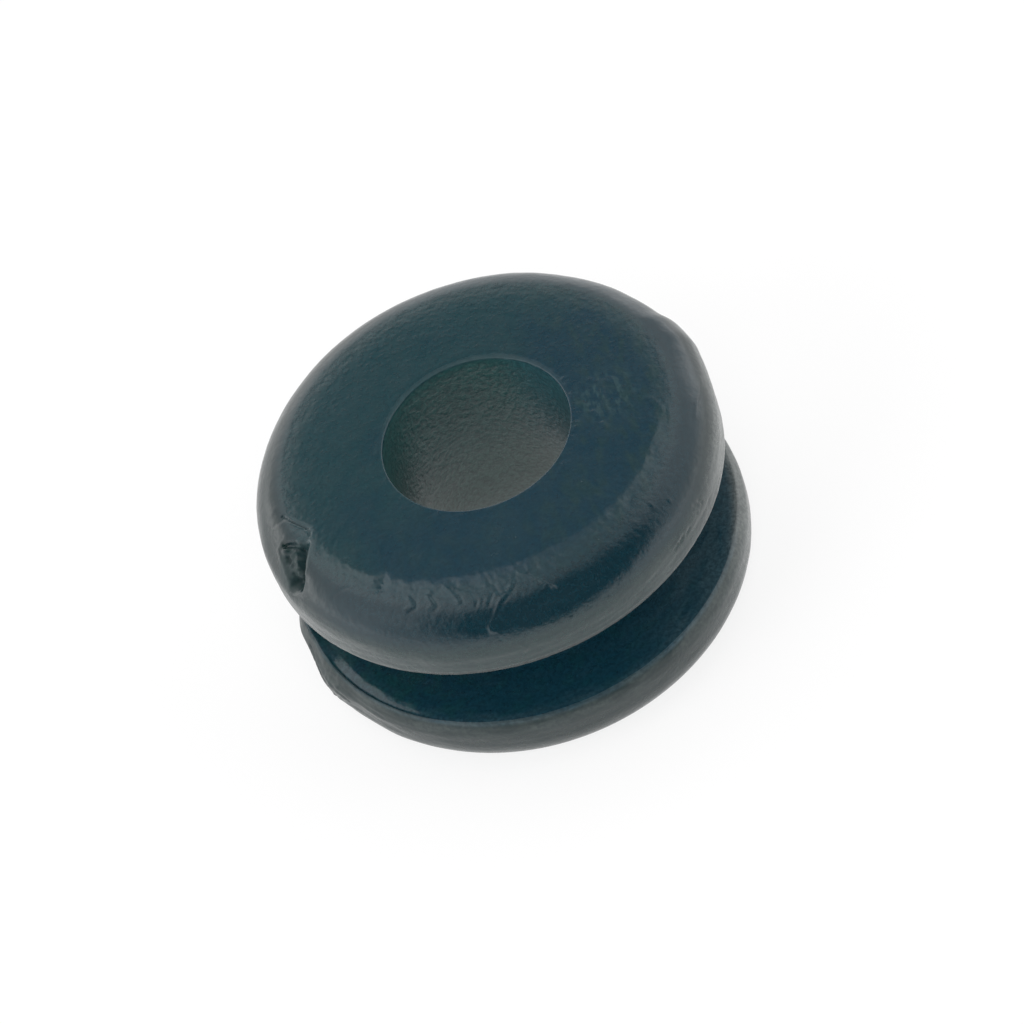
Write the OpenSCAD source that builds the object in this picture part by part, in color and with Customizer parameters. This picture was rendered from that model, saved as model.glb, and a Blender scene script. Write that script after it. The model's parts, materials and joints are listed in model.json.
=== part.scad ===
// Cable grommet: one moulded ring of rubber with a flange at each end, a groove
// between them that a panel's edge fits in, and a hole through it for a cable.
// Millimetres. It stands on its lower flange: Z is the hole's axis, and the
// origin is on that axis at the bottom.

/* [Overall] */
// Outside diameter of both flanges
flange_d = 12; // [10:0.1:18]
// Height from the lower flange's flat face to the upper one's
grommet_h = 6; // [5:0.1:9]

/* [Cable hole] */
// Diameter of the hole, all the way through
bore_d = 4.8; // [2:0.1:6]
// Radius that rounds the hole's rim at each end
bore_rim_r = 0.2; // [0.05:0.05:0.4]

/* [Panel groove] */
// Diameter of the neck, which fills the panel's hole
neck_d = 8; // [6.8:0.1:9]
// Width of the groove between the two flanges
groove_w = 2.2; // [1:0.1:2.8]
// Radius of the inside corner where the neck meets each flange
neck_corner_r = 0.2; // [0.05:0.05:0.4]

/* [Flange edge] */
// Diameter of the flat ring on each end face
face_d = 9.2; // [7:0.1:9.4]
// Slope of the bevel that runs out from the flat ring, from level
bevel_slope = 7; // [2:1:12]
// Radius of the big round from the bevel to the flange's side
edge_r = 1.35; // [0.8:0.05:1.4]
// Radius of the small round beside the groove
lip_r = 0.3; // [0.05:0.05:0.4]

/* [Torn gate] */
// Direction of the scar on the upper flange, turned from +X
gate_angle = 192; // [0:1:360]
// Lean of the scar down the big round, from straight up
gate_lean = 48; // [30:1:60]
// Depth of the flat that trimming the gate left
gate_trim = 0.08; // [0.02:0.01:0.12]
// Length of the pit torn in the flat, up and down the big round
pit_l = 1.2; // [0.8:0.05:1.3]
// Width of the pit, along the rim
pit_w = 0.7; // [0.4:0.05:0.8]
// Depth of the pit below the flat
pit_depth = 0.2; // [0.1:0.02:0.3]

/* [Hidden] */
$fn = 128;
flange_r = flange_d / 2;
bore_r = bore_d / 2;
neck_r = neck_d / 2;
face_r = face_d / 2;
flange_t = (grommet_h - groove_w) / 2;
// The least height of the flange's side below the big round
side_h = 0.2;
// The big round is kept within the flange's thickness, and outside the flat ring
edge_round_r = min(edge_r, flange_t - side_h, (flange_r - face_r) / (1 - sin(bevel_slope)));
// Centre of the big round, which touches the bevel and the flange's side
edge_x = flange_r - edge_round_r;
edge_y = grommet_h - (edge_x - face_r) * tan(bevel_slope) - edge_round_r / cos(bevel_slope);
// The small round is kept within what is left of the side
lip_round_r = min(lip_r, edge_y - grommet_h + flange_t);
// How far a cutting shape reaches past the surface that it cuts
past = 0.5;

// The corner that rounding takes off, for an arc of radius r about the origin
module corner_waste(r) {
  difference() {
    square(r + past);
    circle(r = r);
  }
}

// The groove's section: a slot open to the right, with its two inside corners round
module groove_section() {
  translate([neck_r + neck_corner_r, 0])
    square([flange_r + past - neck_r - neck_corner_r, groove_w]);
  translate([neck_r, neck_corner_r])
    square([2 * neck_corner_r, groove_w - 2 * neck_corner_r]);
  for (y = [neck_corner_r, groove_w - neck_corner_r])
    translate([neck_r + neck_corner_r, y])
      circle(r = neck_corner_r);
}

// What the bevel and the big round take off the upper flange's section
module edge_waste() {
  difference() {
    polygon([
      [face_r, grommet_h],
      [edge_x + edge_round_r * sin(bevel_slope), edge_y + edge_round_r * cos(bevel_slope)],
      [edge_x, edge_y],
      [flange_r, edge_y],
      [flange_r + past, edge_y],
      [flange_r + past, grommet_h + past],
      [face_r, grommet_h + past]
    ]);
    translate([edge_x, edge_y])
      circle(r = edge_round_r);
  }
}

// All that is taken off the upper flange's section
module flange_waste() {
  edge_waste();
  translate([flange_r - lip_round_r, grommet_h - flange_t + lip_round_r])
    mirror([0, 1])
      corner_waste(lip_round_r);
  translate([bore_r + bore_rim_r, grommet_h - bore_rim_r])
    mirror([1, 0])
      corner_waste(bore_rim_r);
}

// The ring's section, from the hole's wall out to the flanges' sides
module ring_section() {
  difference() {
    translate([bore_r, 0])
      square([flange_r - bore_r, grommet_h]);
    translate([0, flange_t])
      groove_section();
    flange_waste();
    translate([0, grommet_h])
      mirror([0, 1])
        flange_waste();
  }
}

// Puts a shape on the big round: its origin goes to the arc's centre, and its
// +Z points out through the middle of the scar
module at_gate() {
  rotate([0, 0, gate_angle])
    translate([edge_x, 0, edge_y])
      rotate([0, gate_lean, 0])
        children();
}

// What trimming the gate took off: all that lies outside one flat plane
module gate_waste() {
  at_gate()
    translate([-flange_r, -flange_r, edge_round_r - gate_trim])
      cube([flange_d, flange_d, flange_r]);
}

// The pit: a round-ended trough sunk into the flat
module gate_pit() {
  trough_r = (pit_w * pit_w / 4 + pit_depth * pit_depth) / (2 * pit_depth);
  half_l = (pit_l - pit_w) / 2;
  at_gate()
    translate([0, 0, edge_round_r - gate_trim - pit_depth + trough_r]) {
      rotate([0, 90, 0])
        cylinder(r = trough_r, h = 2 * half_l, center = true);
      for (x = [-half_l, half_l])
        translate([x, 0, 0])
          sphere(r = trough_r);
    }
}

module grommet() {
  color([0.11, 0.2, 0.24])
    difference() {
      rotate_extrude()
        ring_section();
      gate_waste();
      gate_pit();
    }
}

grommet();
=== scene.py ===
import json
import math

import bpy
import numpy as np
from mathutils import Matrix, Vector, noise


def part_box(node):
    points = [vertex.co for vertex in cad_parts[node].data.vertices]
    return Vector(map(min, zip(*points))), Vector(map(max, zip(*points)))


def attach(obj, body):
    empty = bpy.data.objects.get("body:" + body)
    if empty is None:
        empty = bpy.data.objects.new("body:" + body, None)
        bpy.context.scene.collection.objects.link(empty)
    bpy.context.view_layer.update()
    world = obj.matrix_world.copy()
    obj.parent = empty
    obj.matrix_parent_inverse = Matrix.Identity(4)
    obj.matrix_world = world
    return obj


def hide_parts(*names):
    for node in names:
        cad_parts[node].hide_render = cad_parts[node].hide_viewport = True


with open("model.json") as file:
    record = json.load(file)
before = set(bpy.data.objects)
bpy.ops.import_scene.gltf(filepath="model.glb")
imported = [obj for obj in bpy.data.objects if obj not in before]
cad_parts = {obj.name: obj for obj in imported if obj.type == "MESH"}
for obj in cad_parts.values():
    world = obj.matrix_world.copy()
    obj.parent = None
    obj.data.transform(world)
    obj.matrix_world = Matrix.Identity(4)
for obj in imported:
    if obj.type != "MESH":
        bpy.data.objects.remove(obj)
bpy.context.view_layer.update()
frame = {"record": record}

# ---------------------------------------------------------------------------
# The grommet: one ring of moulded rubber, with a flange at each end, a groove for
# a panel's edge and a hole for a cable. It comes from the mould in one piece, and
# the rubber is torn where its gate was pulled off.

MM = 0.001
low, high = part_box("grommet")
mounts = {mount["name"]: mount["dims"] for mount in frame["record"]["mounts"]}
flange_r = (high.x - low.x) / 2 / MM
height = (high.z - low.z) / MM
bore_r = mounts["cable_bore"]["r_mm"]
neck_r = mounts["panel_groove"]["r_mm"]
groove_w = 2.2
flange_t = (height - groove_w) / 2
under = height - flange_t
side_r = flange_r - 0.05
# Radii of the section's corners, from the hole's rim out and down to the neck
rim_round = 0.035
edge_round = 1.15
lip_round = 0.19
corner_round = 0.2
# The end face runs out to face_r, and the bevel on from there to the big round.
face_r = 4.6
bevel = math.radians(10)
edge_x = side_r - edge_round
edge_z = height - (edge_x - face_r) * math.tan(bevel) - edge_round / math.cos(bevel)
round_starts = edge_x + edge_round * math.sin(bevel)
round_level = edge_z + edge_round * math.cos(bevel)
# The lower flange's edge is a little fuller at the bottom, and sharper beside the groove.
low_round = 1.05
low_x = side_r - low_round
low_z = (low_x - face_r) * math.tan(bevel) + low_round / math.cos(bevel)
low_lip_r = 5.82
low_lip_round = 0.08
low_bulge = 0.75
low_side_top = 1.41
low_bulge_z = low_side_top - 0.01


def line(start, end, step):
    """Evenly spaced places along a straight stretch of the section, and its outward way."""
    start, end = np.array(start), np.array(end)
    length = np.hypot(*(end - start))
    count = max(1, round(length / step))
    along = (end - start) / length
    places = start + np.arange(count)[:, None] / count * (end - start)
    return places, np.tile([-along[1], along[0]], (count, 1))


def arc(centre, radius, first, last, step, hollow=False):
    """Places along a round corner of the section, from one direction to another."""
    count = max(3, round(radius * abs(math.radians(last - first)) / step))
    turn = np.radians(first + (last - first) * np.arange(count) / count)
    out = np.stack([np.cos(turn), np.sin(turn)], 1)
    return np.array(centre) + radius * out, -out if hollow else out


def turns(*stretches):
    """Directions round the ring in degrees, from stretches that give a start, an end and
    how many places there are between them."""
    return np.concatenate([np.linspace(*stretch, endpoint=False) for stretch in stretches])


# The ring is meshed in belts, each with its own spacing round the ring. The belts
# follow the section from the hole's wall over the upper flange, down the groove and
# back under the lower flange. The finest belt is the upper flange's edge.
rim_gap = 0.012
fine_wall_from = 1.3
edge_from = 3.75
low_edge_from = 5.45
rim_x = bore_r + rim_round
wall_top = height - rim_round
lip_x, lip_z = side_r - lip_round, under + lip_round
corner_x, corner_z = neck_r + corner_round, under - corner_round
low_side_z = low_z - low_round * math.cos(bevel)
plain_turns = turns((0, 360, 240))
belts = [
    ("hole", turns((0, 360, 230)), [
        line((bore_r, rim_round), (bore_r, fine_wall_from), 0.2),
        line((bore_r, fine_wall_from), (bore_r, wall_top - rim_gap), 0.09),
        line((bore_r, wall_top - rim_gap), (bore_r, wall_top), rim_gap),
    ]),
    ("face", turns((-35, 20, 110), (20, 325, 200)), [
        arc((rim_x, wall_top), rim_round, 180, 90, 0.05),
        line((rim_x, height), (rim_x + rim_gap, height), rim_gap),
        line((rim_x + rim_gap, height), (edge_from, height), 0.06),
    ]),
    ("edge", turns((178, 206, 127), (206, 325, 305), (325, 538, 190)), [
        line((edge_from, height), (face_r, height), 0.055),
        line((face_r, height), (round_starts, round_level), 0.034),
        arc((edge_x, edge_z), edge_round, 90 - math.degrees(bevel), 0, 0.045),
        line((side_r, edge_z), (side_r, lip_z), 0.05),
        arc((lip_x, lip_z), lip_round, 0, -90, 0.06),
    ]),
    ("groove", plain_turns, [
        line((lip_x, under), (corner_x, under), 0.14),
        arc((corner_x, corner_z), corner_round, 90, 180, 0.09, True),
        line((neck_r, corner_z), (neck_r, height - corner_z), 0.18),
        arc((corner_x, height - corner_z), corner_round, 180, 270, 0.09, True),
        line((corner_x, flange_t), (low_edge_from, flange_t), 0.12),
    ]),
    ("low edge", turns((180, 360, 300), (360, 540, 100)), [
        line((low_edge_from, flange_t), (low_lip_r - low_lip_round, flange_t), 0.045),
        arc((low_lip_r - low_lip_round, flange_t - low_lip_round), low_lip_round, 90, 32, 0.03),
        arc((side_r - low_bulge, low_bulge_z), low_bulge, 34, 0, 0.045),
        line((side_r, low_side_top), (side_r, low_z), 0.06),
        arc((low_x, low_z), low_round, 0, -45, 0.07),
    ]),
    ("underside", plain_turns, [
        arc((low_x, low_z), low_round, -45, math.degrees(bevel) - 90, 0.12),
        line((low_x + low_round * math.sin(bevel), low_side_z), (face_r, 0), 0.1),
        line((face_r, 0), (rim_x, 0), 0.25),
        arc((rim_x, rim_round), rim_round, 270, 180, 0.07),
    ]),
]

# Every point of the skin as one long list: its direction, its place on the section,
# the way out from it, and how far along the section it is. That is counted from the
# axis on the face and the two edges, and from the belt's own start elsewhere.
rings = []
angle, radius, level, out_r, out_z, along, belt_of = [], [], [], [], [], [], []
for belt, belt_turns, stretches in belts:
    section = np.concatenate([places for places, _ in stretches])
    ways = np.concatenate([out for _, out in stretches])
    travel = np.concatenate([[0], np.cumsum(np.hypot(*np.diff(section, axis=0).T))])
    travel_from = {"face": section[-1, 0] - travel[-1], "edge": edge_from, "low edge": low_edge_from}
    travel += travel_from.get(belt, 0)
    for (r, z), (way_r, way_z), far in zip(section, ways, travel):
        rings.append((len(angle), belt_turns))
        angle.extend(belt_turns % 360)
        radius.extend([r] * len(belt_turns))
        level.extend([z] * len(belt_turns))
        out_r.extend([way_r] * len(belt_turns))
        out_z.extend([way_z] * len(belt_turns))
        along.extend([far] * len(belt_turns))
        belt_of.extend([belt] * len(belt_turns))
angle, radius, level, out_r, out_z, along, belt_of = (
    np.array(column) for column in (angle, radius, level, out_r, out_z, along, belt_of)
)
on_wall = belt_of == "hole"
on_face = belt_of == "face"
on_edge = belt_of == "edge"
on_low_edge = belt_of == "low edge"


def spread(x, centre, width, power=2):
    """1 at the centre, fading to 0 past a width on both sides."""
    return np.exp(-(np.abs((x - centre) / width) ** power))


def turned_from(centre):
    """Degrees that each point lies round the ring from a direction, from -180 to 180."""
    return (angle - centre + 180) % 360 - 180


def around(centre, width, power=2):
    """1 in a direction, fading to 0 past a width in degrees on both sides."""
    return spread(turned_from(centre), 0, width, power)


def fade(x, start, end):
    """0 up to start and 1 past end, with a smooth change between them."""
    share = np.clip((x - start) / (end - start), 0, 1)
    return share * share * (3 - 2 * share)


def lumps(where, size, stretch=(1, 1)):
    """Smooth noise from -1 to 1 on the chosen points of the skin, with lumps of about a
    size in mm, drawn out round the ring and along the section."""
    turn = np.radians(angle[where])
    reach = radius[where] / (size * stretch[0])
    rise = level[where] / (size * stretch[1])
    found = np.zeros(len(angle))
    found[where] = [
        noise.noise(Vector((r * math.cos(t), r * math.sin(t), z))) for r, t, z in zip(reach, turn, rise)
    ]
    return found


# About how far from the axis the big round is, where most of the marks lie
round_r = 5.4


def stroke(points, depth, width, where, reach_r=round_r):
    """A groove of a depth and width through points, each a direction in degrees and a
    distance along the section, for the part of the skin that is reach_r from the axis.
    A negative depth makes a ridge."""
    start = points[0][0]
    round_mm = np.radians(turned_from(start)) * reach_r
    path = np.array([[math.radians(turn - start) * reach_r, far] for turn, far in points])
    middle = (path.min(0) + path.max(0)) / 2
    reach = (path.max(0) - path.min(0)) / 2 + 3 * width
    near = where & (np.abs(round_mm - middle[0]) < reach[0]) & (np.abs(along - middle[1]) < reach[1])
    spot = np.stack([round_mm[near], along[near]], -1)
    best = np.full(len(spot), 1e9)
    for a, b in zip(path[:-1], path[1:]):
        share = np.clip(((spot - a) @ (b - a)) / ((b - a) @ (b - a)), 0, 1)
        gap = spot - (a + share[:, None] * (b - a))
        best = np.minimum(best, np.hypot(*gap.T))
    pull = np.zeros(len(angle))
    pull[near] = -depth * np.exp(-((best / width) ** 2))
    return pull


# How far each point stands out from the plain section. The parts below add to it.
shift = np.zeros(len(angle))

# The end face is very slightly crowned. Its edge isn't quite round either: it comes
# further in on the near side, and is nicked and ragged there. The bevel outside it
# takes the big round down with it.
end_face = (on_face | on_edge) & (out_z > 0.98) & (along < round_starts + 0.001)
near_side = fade(angle, 190, 205) * (1 - fade(angle, 325, 350))
reach_in = 0.43 * np.exp(-((turned_from(262) / np.where(angle > 262, 55, 42)) ** 2))
smooth_face_edge = 4.76 - reach_in
torn_edge = 0.06 * lumps(end_face, 0.3) + 0.035 * lumps(end_face, 0.1)
nick = 0.22 * np.clip(1 - np.abs(turned_from(223.6)) / 3.0, 0, None)
face_edge = smooth_face_edge + torn_edge - nick
softness = 0.16 - 0.13 * near_side
slope = math.tan(bevel) * (0.62 + 0.38 * near_side)


def drop(reach, start):
    """How far the end face has sunk at a distance from the axis, if its bevel starts here."""
    crown = 0.006 * np.clip(reach - 2.6, 0, None) ** 2
    return crown + slope * softness * np.logaddexp(0, (reach - start) / softness)


leaving = fade(radius, 4.65, round_starts)
sunk = drop(radius, face_edge) * (1 - leaving) + drop(radius, smooth_face_edge) * leaving
level = np.where(end_face, height - sunk, level)
sunk = drop(round_starts, smooth_face_edge) - (height - round_level)
flange_side = on_edge & (level < edge_z) & (level > lip_z)
squeezed = lip_z + (level - lip_z) * (1 - sunk / (edge_z - lip_z))
level = np.where(flange_side, squeezed, level)
level -= np.where(on_edge & ~end_face & ~flange_side & (out_z >= 0), sunk, 0)
ragged = 0.006 * spread(along, face_edge, 0.04) * near_side * lumps(on_edge, 0.2)
shift += np.where(on_edge, ragged, 0)

# The gate: trimmed to a flat, then torn to a rough pit with a deep split at one side
# and a crease above it.
gate_way = 191
gate_trim = 0.1
gate_lean = math.radians(48)
trim_softness = 0.04
swing = np.radians(turned_from(gate_way))
proud = (radius * np.cos(swing) - edge_x) * math.sin(gate_lean) + (level - edge_z) * math.cos(gate_lean)
proud -= edge_round - gate_trim
facing = out_r * np.cos(swing) * math.sin(gate_lean) + out_z * math.cos(gate_lean)
trimmed = on_edge & (np.abs(angle - gate_way) < 40) & (facing > 0.3)
proud = trim_softness * np.logaddexp(0, np.clip(proud / trim_softness, -30, 30))
shift -= np.where(trimmed, proud / np.clip(facing, 0.3, 1), 0)
at_gate = on_edge & (angle > 178) & (angle < 208)
pit_round = np.radians(turned_from(194)) * round_r
pit_down = along - 5.49
pit_long = 0.76 * pit_round + 0.65 * pit_down
pit_wide = 0.76 * pit_down - 0.65 * pit_round
torn = lumps(at_gate, 0.2) + 0.35 * lumps(at_gate, 0.09)
pit = spread(pit_long, 0, 0.68 + 0.12 * torn, 3) * spread(pit_wide, 0.03, 0.34 + 0.09 * torn, 3)
shift += np.where(at_gate, pit * (-0.14 + 0.08 * torn), 0)
gate_marks = [
    ([(192.8, 5.03), (194.8, 5.21), (196.5, 5.45), (198.1, 5.69), (198.4, 5.87), (197, 5.97)], 0.25, 0.14),
    ([(187.2, 5.47), (188, 5.36), (189.4, 5.2)], 0.12, 0.07),
    ([(190.6, 5.16), (191.6, 5.08)], 0.08, 0.06),
    ([(190.2, 5.62), (191.4, 5.68)], 0.07, 0.06),
    ([(194.6, 5.82), (196, 5.88)], 0.07, 0.07),
    ([(188.4, 5.55), (188.8, 5.5)], -0.06, 0.07),
    ([(193.6, 5.42), (194.6, 5.52)], -0.06, 0.08),
    ([(196.8, 5.68), (197.2, 5.62)], -0.05, 0.05),
    ([(191.4, 5.3), (191.2, 5.5)], -0.04, 0.07),
    ([(201.2, 5.9), (200.6, 5.62), (198.6, 5.22)], -0.012, 0.07),
    ([(186.2, 5.72), (188.2, 5.8), (192, 5.95), (195.4, 6.08)], -0.025, 0.06),
    ([(179.4, 5.12), (182, 5), (184.6, 4.86), (187.2, 4.73), (188.6, 4.69)], 0.07, 0.03),
    ([(189.2, 4.68), (190.4, 4.68), (191.4, 4.74)], 0.035, 0.03),
    ([(180.8, 5.12), (179.9, 5.46)], 0.01, 0.06),
    ([(181.8, 5.2), (180.9, 5.5)], -0.006, 0.08),
    ([(175.4, 5.2), (176, 5.44), (176.9, 5.66)], -0.022, 0.05),
]
for points, depth, width in gate_marks:
    shift += stroke(points, depth, width, on_edge)

# Wrinkles, nicks and scuffs round the edge, where the skin was still soft as it left
# the mould: they start by the gate and run on round the near side to the east end.
wrinkles = [
    ([(211.5, 5.49), (212.6, 5.32), (213.6, 5.19), (215, 5.1)], 0.018, 0.03),
    ([(207.5, 5.37), (209.5, 5.15)], 0.006, 0.03),
    ([(221.2, 4.76), (222.5, 4.68), (224, 4.72)], -0.012, 0.03),
    ([(221.8, 4.62), (223.6, 4.42), (225.8, 4.6)], -0.009, 0.03),
    ([(222.4, 5.01), (224.2, 4.9)], 0.009, 0.04),
    ([(234.6, 5.31), (236.2, 5.2), (236.6, 5.1), (235.6, 4.98), (234.2, 4.9)], 0.016, 0.024),
    ([(233.2, 5.23), (234.9, 5.12), (233.4, 4.95)], -0.009, 0.045),
    ([(241.4, 5.23), (242.6, 5.12), (241.8, 5), (240, 4.85)], 0.018, 0.024),
    ([(239.8, 5.16), (240.8, 5.06), (238.8, 4.85)], -0.011, 0.04),
    ([(248.2, 5.05), (247, 4.87), (245.4, 4.72), (243.6, 4.6)], -0.014, 0.04),
    ([(249.3, 5.02), (248.4, 4.85)], 0.012, 0.026),
    ([(252.9, 5.19), (253.3, 5.07)], 0.018, 0.026),
    ([(254.6, 5.17), (255.1, 5.05)], 0.012, 0.024),
    ([(256.4, 5.22), (257, 5.09), (257.8, 4.97)], 0.022, 0.028),
    ([(256.7, 5.87), (255.6, 5.83), (255.6, 5.73), (256.8, 5.59), (257.8, 5.42),
      (258.8, 5.27)], -0.022, 0.03),
    ([(255.5, 5.85), (255.4, 5.75)], -0.012, 0.04),
    ([(258.8, 5.25), (260, 5.13), (261.7, 5.02), (264, 4.8)], -0.016, 0.045),
    ([(257.4, 5.57), (258.6, 5.43), (259.6, 5.27)], 0.012, 0.03),
    ([(260.4, 5.23), (262.4, 5.09), (264.4, 4.92)], 0.012, 0.03),
    ([(259.6, 4.95), (258.6, 4.75), (257.2, 4.64)], 0.009, 0.03),
    ([(273.9, 5.43), (273.6, 5.34)], -0.026, 0.04),
    ([(273.8, 5.37), (272.4, 5.17), (270.8, 4.95), (268.6, 4.75), (266.4, 4.62)], -0.014, 0.03),
    ([(261.6, 6.63), (262.4, 6.53), (261.6, 6.43)], -0.02, 0.03),
    ([(263.2, 6.57), (264, 6.49), (263.4, 6.41)], 0.014, 0.03),
    ([(273.6, 6.31), (274.6, 6.21)], -0.014, 0.03),
    ([(304.4, 6.57), (306.2, 6.51)], 0.03, 0.028),
    ([(306.8, 6.57), (308.4, 6.49)], 0.04, 0.03),
    ([(309.2, 6.59), (311, 6.53)], 0.03, 0.028),
    ([(305.4, 6.45), (307.4, 6.37)], -0.016, 0.03),
    ([(315.4, 6.23), (316.6, 6.41)], 0.03, 0.026),
    ([(317.4, 6.31), (318.2, 6.49)], 0.03, 0.026),
    ([(314.2, 6.37), (315.2, 6.49)], 0.02, 0.026),
    ([(307.9, 5.31), (308.2, 5.27)], -0.02, 0.025),
    ([(311.7, 5.63), (312.1, 5.57)], -0.02, 0.025),
    ([(338, 5.6), (341, 5.59), (344, 5.64), (347.5, 5.75), (352, 5.91)], -0.016, 0.03),
    ([(337.6, 4.97), (339.8, 4.9)], -0.012, 0.03),
    ([(346, 4.35), (343, 4.58), (340, 4.78)], -0.01, 0.035),
]
for points, depth, width in wrinkles:
    shift += stroke(points, depth, width, on_edge)

# Low waves and fine pebbles over the whole round, a lump with a flat beside it at the
# east end, a slightly sunk far side, and streaks and a wavy lip along its foot.
waves = lumps(on_edge, 1.7) + 0.4 * lumps(on_edge, 0.6)
shift += np.where(on_edge, 0.01 * waves * fade(along, 4.7, 5.4), 0)
on_round = np.where(on_edge, fade(along, 5.0, 5.7), 0)
shift += on_round * 0.09 * around(11.5, 6.2, 4)
shift -= on_round * (0.01 * around(-9, 9) + 0.02 * around(28, 7))
shift += on_round * (0.05 * around(4, 5) - 0.02 * around(44, 10) - 0.035 * around(144, 24))
foot_streaks = lumps(on_edge, 0.12, (9, 1)) + 0.5 * lumps(on_edge, 0.07, (7, 1))
shift += np.where(on_edge, 0.006 * foot_streaks * fade(along, 5.9, 6.3), 0)
wavy_lip = 0.012 * lumps(on_edge, 0.22) * spread(level, under, 0.15) * near_side
shift += np.where(on_edge, wavy_lip, 0)
pebbled = 0.003 * lumps(on_edge, 0.13) + 0.004 * lumps(on_edge, 0.3) * fade(along, 4.8, 5.2)
shift += np.where(on_edge, pebbled, 0)
# It all fades out under the lip, where the next belt starts.
shift = np.where(on_edge, shift * np.clip(3 * (1 + out_z), 0, 1), shift)

# The hole's wall is rippled like crumpled skin, except near its lower end, where it
# is smooth and widens a little. The underside starts where the widened hole ends.
ripples = lumps(on_wall, 0.1, (1.5, 1)) + 0.5 * lumps(on_wall, 0.07, (1.3, 1))
smooth_below = 1.9 + 0.5 * np.cos(np.radians(angle - 20))
rippled = fade(level, smooth_below - 0.4, smooth_below + 0.5)
shift += np.where(on_wall, 0.009 * ripples * rippled, 0)
flare = 0.12
widening = np.clip((1.5 - level) / 1.3, 0, 1) ** 2
shift -= np.where(on_wall, flare * widening, 0)
radius += np.where(belt_of == "underside", flare * (1 - fade(radius, bore_r, 3)), 0)

# The hole's rim is sharp on the near side and worn round on the far side, with a rough
# strip of face beside it.
rough = lumps(on_face, 0.25) + 1.2 * lumps(on_face, 0.12)
beside_rim = 0.012 * rough * spread(radius, bore_r, 0.2)
shift += np.where(on_face, beside_rim * fade(radius, bore_r + 0.03, bore_r + 0.14), 0)
on_rim = on_face & (out_z < 0.99)
to_corner = rim_round * (1 / np.maximum(np.abs(out_r), np.abs(out_z)) - 1)
shift += np.where(on_rim, to_corner * (0.9 * around(258, 88, 6) - 0.2), 0)
from_corner = np.hypot(radius - bore_r, level - height)
worn_rim = 0.022 * around(72, 58, 4) * spread(from_corner, 0, 0.13)
shift -= np.where(on_wall | on_face, worn_rim, 0)

# A soft scuff on the end face, beside the hole.
scuffs = [
    ([(-2, 3.36), (-8, 3.3), (-14, 3.31), (-19, 3.36)], -0.01, 0.05),
    ([(3, 3.12), (-1, 3.4), (-2, 3.68)], -0.005, 0.07),
    ([(-10, 2.74), (-13, 2.86)], -0.008, 0.06),
    ([(-16.5, 3), (-19.5, 3.12)], -0.008, 0.05),
    ([(-24, 3.26), (-26, 3.36)], -0.009, 0.06),
]
for points, depth, width in scuffs:
    shift += stroke(points, depth, width, on_face, reach_r=3.2)

# The lower flange's upper edge is ragged. At its west end a tab of flash stands out
# in folds, and inside that the groove's floor slopes down to a thin gutter.
ragged_lip = lumps(on_low_edge, 0.22, (1.6, 1)) + 0.5 * lumps(on_low_edge, 0.1)
bumps = 0.014 * ragged_lip * spread(along, low_lip_r, 0.1) + 0.006 * lumps(on_low_edge, 0.5)
shift += np.where(on_low_edge, bumps, 0)
shift += np.where(on_low_edge, 0.004 * lumps(on_low_edge, 0.12, (6, 1)), 0)
west_end = np.where(on_low_edge, fade(angle, 193, 200) * (1 - fade(angle, 215, 238)), 0)
slope_down = west_end * (0.06 + 0.02 * ragged_lip) * np.clip((along - 5.47) / 0.3, 0, 1)
shift -= slope_down * (1 - fade(along, 5.76, 5.81))
gutter = 0.02 * spread(along, 5.72, 0.05) * (1 - fade(angle, 222, 240)) * fade(angle, 190, 198)
shift -= np.where(on_low_edge, gutter, 0)
at_tab = np.where(on_low_edge, fade(angle, 182, 195) * (1 - fade(angle, 197, 209)), 0)
folds = lumps(on_low_edge, 0.1, (1, 5))
shift += at_tab * spread(along, 6.4, 0.5, 4) * (0.17 + 0.03 * folds)
shift += np.where(on_low_edge, 0.13 * around(180.5, 7) * spread(along, 5.95, 0.3, 4), 0)
shift += np.where(on_low_edge, 0.03 * around(214, 14) * fade(along, 5.9, 6.3), 0)
flash_marks = [
    ([(186, 5.98), (192, 6.15), (197, 6.5), (199, 6.8)], 0.045, 0.04),
    ([(190, 5.95), (197, 6.1), (204, 6.35)], 0.03, 0.04),
    ([(198, 6), (206, 6.1), (216, 6.2)], 0.02, 0.035),
    ([(206, 5.86), (212, 5.92), (220, 5.95)], -0.02, 0.03),
]
for points, depth, width in flash_marks:
    shift += stroke(points, depth, width, on_low_edge)
shift += west_end * 0.015 * lumps(on_low_edge, 0.12, (6, 1))
# This too fades out where the belts on both sides start.
ends = fade(along, low_edge_from, low_edge_from + 0.15) * (1 - fade(along, 6.9, 7.3))
shift = np.where(on_low_edge, shift * ends, shift)

radius = radius + out_r * shift
level = np.clip(level + out_z * shift, 0, height + 0.02)
# The hole sits a little to one side of the flanges' middle.
hole_east = 0.066
sideways = hole_east * np.clip((3.6 - radius) / 1.0, 0, 1)
x = radius * np.cos(np.radians(angle)) + sideways
y = radius * np.sin(np.radians(angle))


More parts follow.
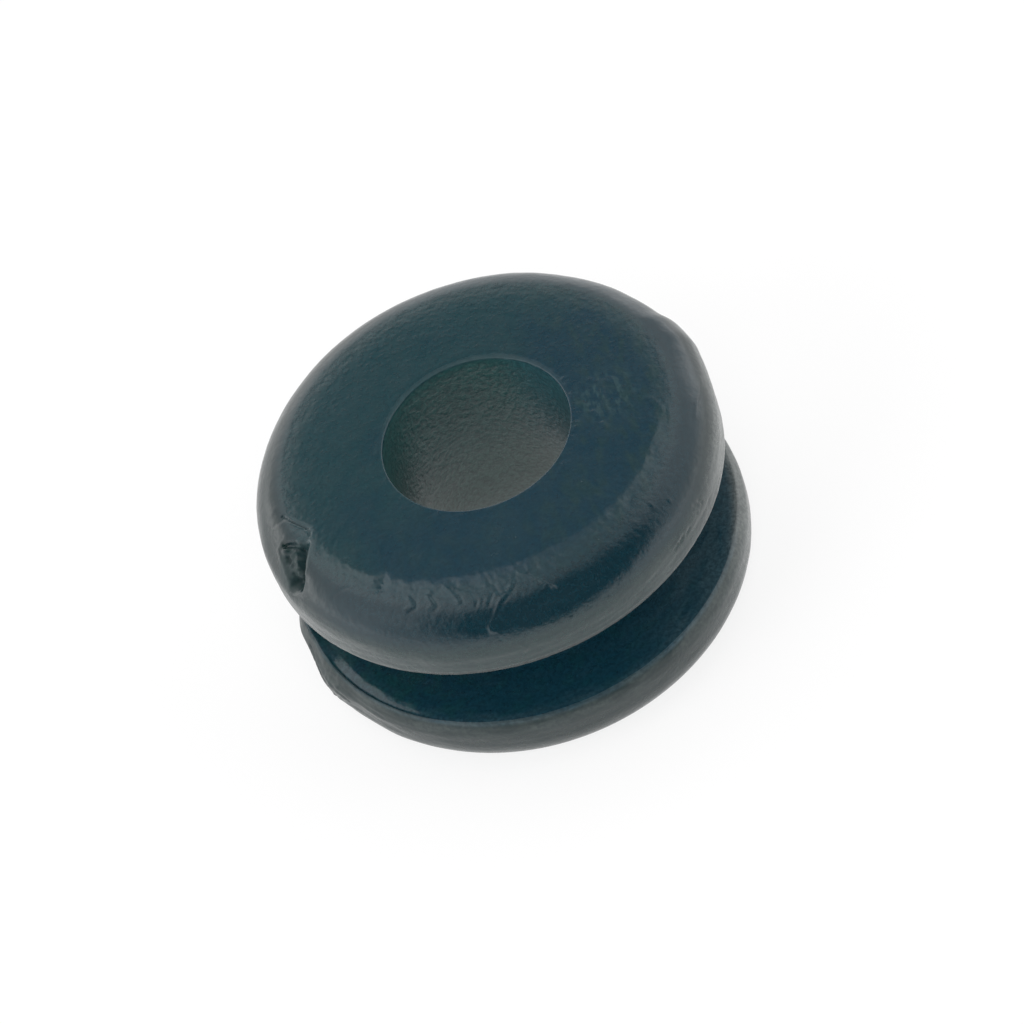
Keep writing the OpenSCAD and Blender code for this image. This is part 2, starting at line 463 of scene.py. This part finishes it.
def join(first, ring_turns, second, next_turns):
    """Faces between two rings: squares if they match, or else triangles that walk round
    both rings together and always step the one that is behind."""
    count, next_count = len(ring_turns), len(next_turns)
    if ring_turns is next_turns:
        ahead = [(i + 1) % count for i in range(count)]
        return [(first + i, second + i, second + j, first + j) for i, j in enumerate(ahead)]
    order, next_order = np.argsort(ring_turns % 360), np.argsort(next_turns % 360)
    turned = np.append((ring_turns % 360)[order], 999)
    next_turned = np.append((next_turns % 360)[next_order], 999)
    made = []
    i = j = 0
    while i < count or j < next_count:
        here, there = first + order[i % count], second + next_order[j % next_count]
        if i < count and (j == next_count or turned[i + 1] <= next_turned[j + 1]):
            i += 1
            made.append((here, there, first + order[i % count]))
        else:
            j += 1
            made.append((here, there, second + next_order[j % next_count]))
    return made


faces = []
for (first, ring_turns), (second, next_turns) in zip(rings, rings[1:] + rings[:1]):
    faces += join(first, ring_turns, second, next_turns)
mesh = bpy.data.meshes.new("grommet_skin")
mesh.from_pydata(np.stack([x, y, level], -1) * MM, [], [tuple(map(int, corners)) for corners in faces])
mesh.polygons.foreach_set("use_smooth", [True] * len(mesh.polygons))
mesh.update()
grommet = bpy.data.objects.new("grommet_skin", mesh)
bpy.context.scene.collection.objects.link(grommet)


class Wire:
    """A value in a material: it wraps one socket, and arithmetic on it adds Math nodes."""

    def __init__(self, tree, socket=None):
        self.tree = tree
        self.socket = socket

    def node(self, kind, settings=None, values=None, out=0):
        """Adds a node: its settings first, then its sockets' values or links."""
        made = self.tree.nodes.new(kind)
        for name, value in (settings or {}).items():
            setattr(made, name, value)
        for name, value in (values or {}).items():
            if isinstance(value, Wire):
                self.tree.links.new(value.socket, made.inputs[name])
            else:
                made.inputs[name].default_value = value
        return Wire(self.tree, made.outputs[out] if made.outputs else None)

    def beside(self, name):
        """Another output of the same node."""
        return Wire(self.tree, self.socket.node.outputs[name])

    def maths(self, operation, *terms):
        return self.node("ShaderNodeMath", {"operation": operation}, dict(enumerate(terms)))

    def __add__(self, other):
        return self.maths("ADD", self, other)

    def __sub__(self, other):
        return self.maths("SUBTRACT", self, other)

    def __rsub__(self, other):
        return self.maths("SUBTRACT", other, self)

    def __mul__(self, other):
        return self.maths("MULTIPLY", self, other)

    __radd__ = __add__
    __rmul__ = __mul__

    def size(self):
        """How large the value is, without its sign."""
        return self.maths("ABSOLUTE", self)

    def or_more(self, other):
        """The larger of two values."""
        return self.maths("MAXIMUM", self, other)

    def step(self, start, end):
        """0 at start and 1 at end, with a smooth change between them."""
        return self.node(
            "ShaderNodeMapRange",
            {"interpolation_type": "SMOOTHSTEP"},
            {"Value": self, "From Min": start, "From Max": end},
        )

    def mix(self, first, second):
        """A colour between two, by this wire's share of the second."""
        return self.node(
            "ShaderNodeMix",
            {"data_type": "RGBA"},
            {"Factor": self, "A": first, "B": second},
            out="Result",
        )

    def vector(self, operation, values, out="Vector"):
        return self.node("ShaderNodeVectorMath", {"operation": operation}, {0: self, **values}, out)

    def grain(self, scale, detail=2.0):
        """Noise from 0 to 1, with this many lumps to a millimetre."""
        return self.node("ShaderNodeTexNoise", {}, {"Vector": self, "Scale": scale, "Detail": detail})


def new_material(name):
    material = bpy.data.materials.new(name)
    material.use_nodes = True
    material.node_tree.nodes.clear()
    return material, Wire(material.node_tree)


# The rubber: black with a blue-green cast, glossy where the mould was polished, and
# paler where it is rubbed or dusty. Some tints are painted light: in the hole, on the far
# rim, in the groove's east part and at the flanges' east ends. The gate's pit has painted
# shade. Places are in mm, and out is the way off the axis.
rubber, wire = new_material("rubber")
place = wire.node("ShaderNodeTexCoord", out="Object").vector("SCALE", {"Scale": 1 / MM})
east = wire.node("ShaderNodeSeparateXYZ", {}, {"Vector": place}, out="X")
north = east.beside("Y")
up = east.beside("Z")
out = wire.maths("SQRT", east * east + north * north)
clouds = place.grain(0.7, 3.0)
mottle = place.grain(2.6, 3.0)
grit = place.grain(9.0, 3.0)
drawn_out = place.vector("MULTIPLY", {1: (2.2, 0.9, 1.0)})
scratches = drawn_out.grain(1.9, 5.0)
fine = place.grain(16.0)
round_turn = 1.2 * wire.maths("ARCTAN2", east, 0.0 - north)
round_place = wire.node("ShaderNodeCombineXYZ", {}, {"X": round_turn, "Y": out, "Z": up})
streaks = round_place.grain(5.0, 4.0)

blue_rubber = (0.0038, 0.0305, 0.0495, 1)
green_rubber = (0.0042, 0.037, 0.0465, 1)
pale_rubber = (0.01, 0.037, 0.0425, 1)
scuffed_rubber = (0.028, 0.066, 0.074, 1)
round_rubber = (0.0045, 0.0245, 0.035, 1)
side_rubber = (0.0035, 0.0245, 0.0255, 1)
grey_rubber = (0.006, 0.018, 0.0175, 1)
# Pale rubbed rubber, also used as painted light at the lower flange's east end.
wear_and_painted_light = (0.045, 0.062, 0.06, 1)
# Painted highlight for the east ends of the flanges' sides.
painted_highlight_rubber = (0.15, 0.165, 0.16, 1)
floor_rubber = (0.0055, 0.037, 0.058, 1)
teal_rubber = (0.0055, 0.045, 0.052, 1)
# Dust in the groove, also used as painted light on the groove's east part.
groove_dust_and_painted_light = (0.032, 0.068, 0.086, 1)
# The hole's three colours: painted light on its wall, stronger painted light on its east side, and a
# painted reflection of the table low down.
hole_painted_light = (0.02, 0.08, 0.078, 1)
hole_east_painted_light = (0.024, 0.088, 0.105, 1)
low_hole_painted_reflection = (0.085, 0.165, 0.148, 1)
# Painted highlight for the far part of the hole's rim.
far_rim_painted_highlight = (0.035, 0.075, 0.082, 1)
# Painted shade in the gate's pit.
pit_painted_shade = (0.007, 0.03, 0.03, 1)
dark_rubber = (0.0012, 0.011, 0.018, 1)

# The end face: blue to green in clouds, with pale scratches and a scuffed patch.
greener = (0.09 * north - 0.07 * east + 0.9 * clouds).step(0.2, 0.75)
tint = greener.mix(blue_rubber, green_rubber)
scratched = scratches.step(0.44, 0.7) * (0.3 + 0.6 * (east - north * 0.3).step(0.5, 3.5))
tint = (scratched + 0.2 * mottle.step(0.3, 0.8)).mix(tint, pale_rubber)
tint = (out.step(4.4, 4.7) * 0.5).mix(tint, pale_rubber)
scuff = place.vector("DISTANCE", {1: (3.4, -0.5, 6.0)}, out="Value").step(1.1, 0.3)
tint = (0.75 * scuff * drawn_out.grain(3.4, 4.0).step(0.46, 0.6)).mix(tint, scuffed_rubber)

# The edges: darker on the round, greener on the side, greyer at both ends, and worn in
# streaks along the foot.
tint = (out.step(4.9, 5.3) * up.step(4.0, 4.15)).mix(tint, round_rubber)
tint = (out.step(5.5, 5.85) * up.step(5.4, 4.9)).mix(tint, side_rubber)
tint = ((0.6 * north - east).step(2.0, 5.0) * out.step(4.9, 5.4)).mix(tint, grey_rubber)
tint = (east.step(3.2, 5.6) * out.step(5.5, 5.8)).mix(tint, grey_rubber)
foot = out.step(5.6, 5.85) * up.step(5.3, 4.9) * up.step(4.1, 4.3)
worn = (0.15 + 0.65 * (east + 0.3).size().step(2.0, 4.4)) * streaks.step(0.25, 0.65)
worn = worn - 0.36 * east.step(2.8, 3.9)
tint = (worn * foot).mix(tint, wear_and_painted_light)

# The groove: blue to teal on its floor and wall, dusty near its lip, and paler to the east
# with painted light.
in_groove = out.step(5.86, 5.8) * up.step(4.05, 3.95) * up.step(0.5, 0.6) * out.step(3.5, 3.6)
teal = greener + 0.8 * mottle.step(0.35, 0.65) - 0.4
tint = in_groove.mix(tint, teal.mix(floor_rubber, teal_rubber))
streaky = streaks.step(0.25, 0.65)
dust_and_painted_light = 0.55 * (out + 0.7 * streaks).step(5.75, 6.25) + 0.95 * east.step(1.8, 4.6) * streaky
dust_and_painted_light = dust_and_painted_light + 0.22 * east.step(0.8, 2.8) + 0.2 * streaks.step(0.4, 0.8)
tint = (dust_and_painted_light * in_groove).mix(tint, groove_dust_and_painted_light)

# The lower flange: grey, with a worn lip and a paler east end that is painted light.
low_side = out.step(5.76, 5.84) * up.step(1.86, 1.7)
tint = low_side.mix(tint, grey_rubber)
low_lip = out.step(5.74, 5.8) * up.step(1.3, 1.7) * up.step(2.0, 1.95)
low_worn = (0.55 * low_lip + 0.16 * low_side) * streaks.step(0.3, 0.65)
tint = (low_worn + 0.75 * low_side * east.step(2.9, 5.2)).mix(tint, wear_and_painted_light)

# The hole: painted light over its wall, stronger and bluer on its east side under the rim,
# and a painted reflection of the white table low down.
in_hole = out.step(2.56, 2.5) * up.step(5.98, 5.9) * up.step(0.02, 0.06)
tint = in_hole.mix(tint, east.step(0.9, 2.3).mix(hole_painted_light, hole_east_painted_light))
tint = (0.7 * in_hole * up.step(3.6, 1.8)).mix(tint, low_hole_painted_reflection)

# Painted highlight at the east end of both flanges' sides, and a painted highlight on the far part of the
# rim.
east_painted_highlight = 0.85 * east.step(4.4, 5.5) * out.step(5.5, 5.8) * up.step(5.5, 4.9)
tint = east_painted_highlight.mix(tint, painted_highlight_rubber)
from_hole = wire.maths("SQRT", (east - hole_east) * (east - hole_east) + north * north)
far_rim = from_hole.step(2.6, 2.46) * up.step(5.9, 5.97) * (north + 0.2 * east).step(0.0, 2.0)
tint = (0.25 * far_rim).mix(tint, far_rim_painted_highlight)

# The pit at the gate, darkened with painted shade, and dark specks all over, strongest off the end face.
past_face = out.step(4.7, 5.0).or_more(in_hole + in_groove)
in_pit = place.vector("DISTANCE", {1: (-5.15, -1.3, 5.42)}, out="Value").step(0.72, 0.5)
speckle = (0.6 * grit + 0.4 * fine).step(0.36, 0.64)
tint = (0.6 * in_pit).mix(tint, pit_painted_shade)
tint = ((0.3 + 0.2 * past_face) * speckle).mix(tint, dark_rubber)

finish = 0.18 + 0.06 * clouds + 0.08 * mottle + 0.12 * in_hole + 0.08 * far_rim - 0.04 * out.step(4.9, 5.2)
finish = finish + past_face * (0.1 * grit - 0.03) + 0.12 * (foot + low_side) * streaks
finish = finish + 0.15 * low_lip + 0.2 * in_pit
relief = grit * (0.5 + 1.2 * in_hole + 0.3 * past_face) + 0.5 * mottle
relief = relief + 0.9 * (foot + low_side) * streaks
skin = wire.node("ShaderNodeBump", {}, {"Strength": 0.35, "Distance": 0.03 * MM, "Height": relief})
shader = wire.node(
    "ShaderNodeBsdfPrincipled",
    {},
    {
        "Base Color": tint,
        "Roughness": finish,
        "Specular IOR Level": 0.7,
        "Normal": skin,
    },
)
wire.node("ShaderNodeOutputMaterial", {}, {"Surface": shader})
mesh.materials.append(rubber)
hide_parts("grommet")
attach(grommet, "root")

# ---------------------------------------------------------------------------
# The table: a plain white sheet that the grommet stands on. It shows white to the
# eye and in reflections, and still takes the soft shadow.

bpy.ops.mesh.primitive_plane_add(size=4, location=(0, 0, -0.01 * MM))
table = bpy.context.active_object
table.name = "table"
paper, wire = new_material("white_table")
seen = wire.node("ShaderNodeLightPath", out="Is Camera Ray")
mirrored = seen.beside("Is Glossy Ray").or_more(seen.beside("Is Transmission Ray"))
white = (0.8 * seen).or_more(0.85 * mirrored)
matt = wire.node("ShaderNodeBsdfDiffuse", {}, {"Color": (0.92, 0.92, 0.92, 1)})
shining = wire.node("ShaderNodeEmission", {}, {"Color": (1, 1, 1, 1), "Strength": 1.0})
surface = wire.node("ShaderNodeMixShader", {}, {"Fac": white, 1: matt, 2: shining})
wire.node("ShaderNodeOutputMaterial", {}, {"Surface": surface})
table.data.materials.append(paper)

# ---------------------------------------------------------------------------
# The light: white walls all round, dark where the viewer stands, with a broad light
# high up on each side and a gap between them. The lamps only add matt light.

world = bpy.data.worlds.new("studio")
bpy.context.scene.world = world
world.use_nodes = True
world.node_tree.nodes.clear()
wire = Wire(world.node_tree)
way = wire.node("ShaderNodeTexCoord", out="Generated")
east = wire.node("ShaderNodeSeparateXYZ", {}, {"Vector": way}, out="X")
north = east.beside("Y")
up = east.beside("Z")


def glow(heading, climb, full, none):
    """1 in the direction with a heading from north and a climb from level, and all
    round it to a full angle, fading to 0 at a wider one."""
    flat = math.cos(math.radians(climb))
    aim_east = flat * math.sin(math.radians(heading))
    aim_north = flat * math.cos(math.radians(heading))
    facing = aim_east * east + aim_north * north + math.sin(math.radians(climb)) * up
    return facing.step(math.cos(math.radians(none)), math.cos(math.radians(full)))


walls = 0.72 + 0.58 * up.step(0.36, 0.0) + 0.2 * east.size() - 0.04 * east
walls = walls + 0.42 * glow(-25, 56, 7, 24) + 0.25 * glow(25, 54, 7, 24)
walls = walls + 0.4 * glow(48, 3, 8, 30) + 0.5 * glow(-8, 22, 6, 24) + 0.6 * glow(-58, 0, 8, 28)
viewer = glow(173, 47, 32, 50) + 0.3 * glow(175, 6, 20, 55) + 0.15 * glow(108, 26, 10, 28)
viewer = viewer + 0.35 * glow(230, 14, 10, 34)
gap = glow(0, 51, 10, 17)
above = 0.42 * glow(12, 67, 4, 13) + 0.4 * glow(50, 80, 6, 18) + 0.1 * glow(0, 78, 5, 17)
strength = walls * (1.0 - viewer) * (1.0 - 0.93 * gap) * (1.0 - above)
strength = strength.or_more(0.0)
sky = wire.node("ShaderNodeBackground", {}, {"Color": (1, 1, 1, 1), "Strength": strength})
wire.node("ShaderNodeOutputWorld", {}, {"Surface": sky})


def lamp(name, stands_at, size, power):
    light = bpy.data.lights.new(name, "AREA")
    light.shape = "DISK"
    light.size = size
    light.energy = power
    made = bpy.data.objects.new(name, light)
    made.location = stands_at
    made.rotation_euler = (-Vector(stands_at)).to_track_quat("-Z", "Y").to_euler()
    made.visible_glossy = False
    made.visible_camera = False
    bpy.context.scene.collection.objects.link(made)


lamp("overhead", (0, 0.05, 0.6), 0.6, 0.75)
lamp("front", (0, -0.42, 0.42), 0.4, 1.6)
lamp("left", (-0.5, -0.2, 0.3), 0.4, 1.2)
lamp("right", (0.5, -0.2, 0.3), 0.4, 0.6)

# ---------------------------------------------------------------------------
# The camera looks down at the ring from close by, rolled to one side. It aims a
# little to one side of the upper face's middle, and below it.

lean = math.radians(41.151)
roll = math.radians(22.996)
distance = 78.7
aim_right = 0.9564
aim_down = 1.9154
flat, steep = math.cos(lean), math.sin(lean)
right = Vector((math.cos(roll), -math.sin(roll) * flat, -math.sin(roll) * steep))
down = Vector((-math.sin(roll), -math.cos(roll) * flat, -math.cos(roll) * steep))
forward = Vector((0, steep, -flat))
eye = Vector((0, 0, height)) + right * aim_right + down * aim_down - forward * distance
lens = bpy.data.cameras.new("camera")
lens.lens = 112.498
lens.sensor_width = 36
lens.clip_start = 0.001
lens.clip_end = 10
camera = bpy.data.objects.new("camera", lens)
axes = Matrix((right, -down, -forward)).transposed()
camera.matrix_world = Matrix.Translation(eye * MM) @ axes.to_4x4()
bpy.context.scene.collection.objects.link(camera)
bpy.context.scene.camera = camera
bpy.context.scene.view_settings.view_transform = "Standard"
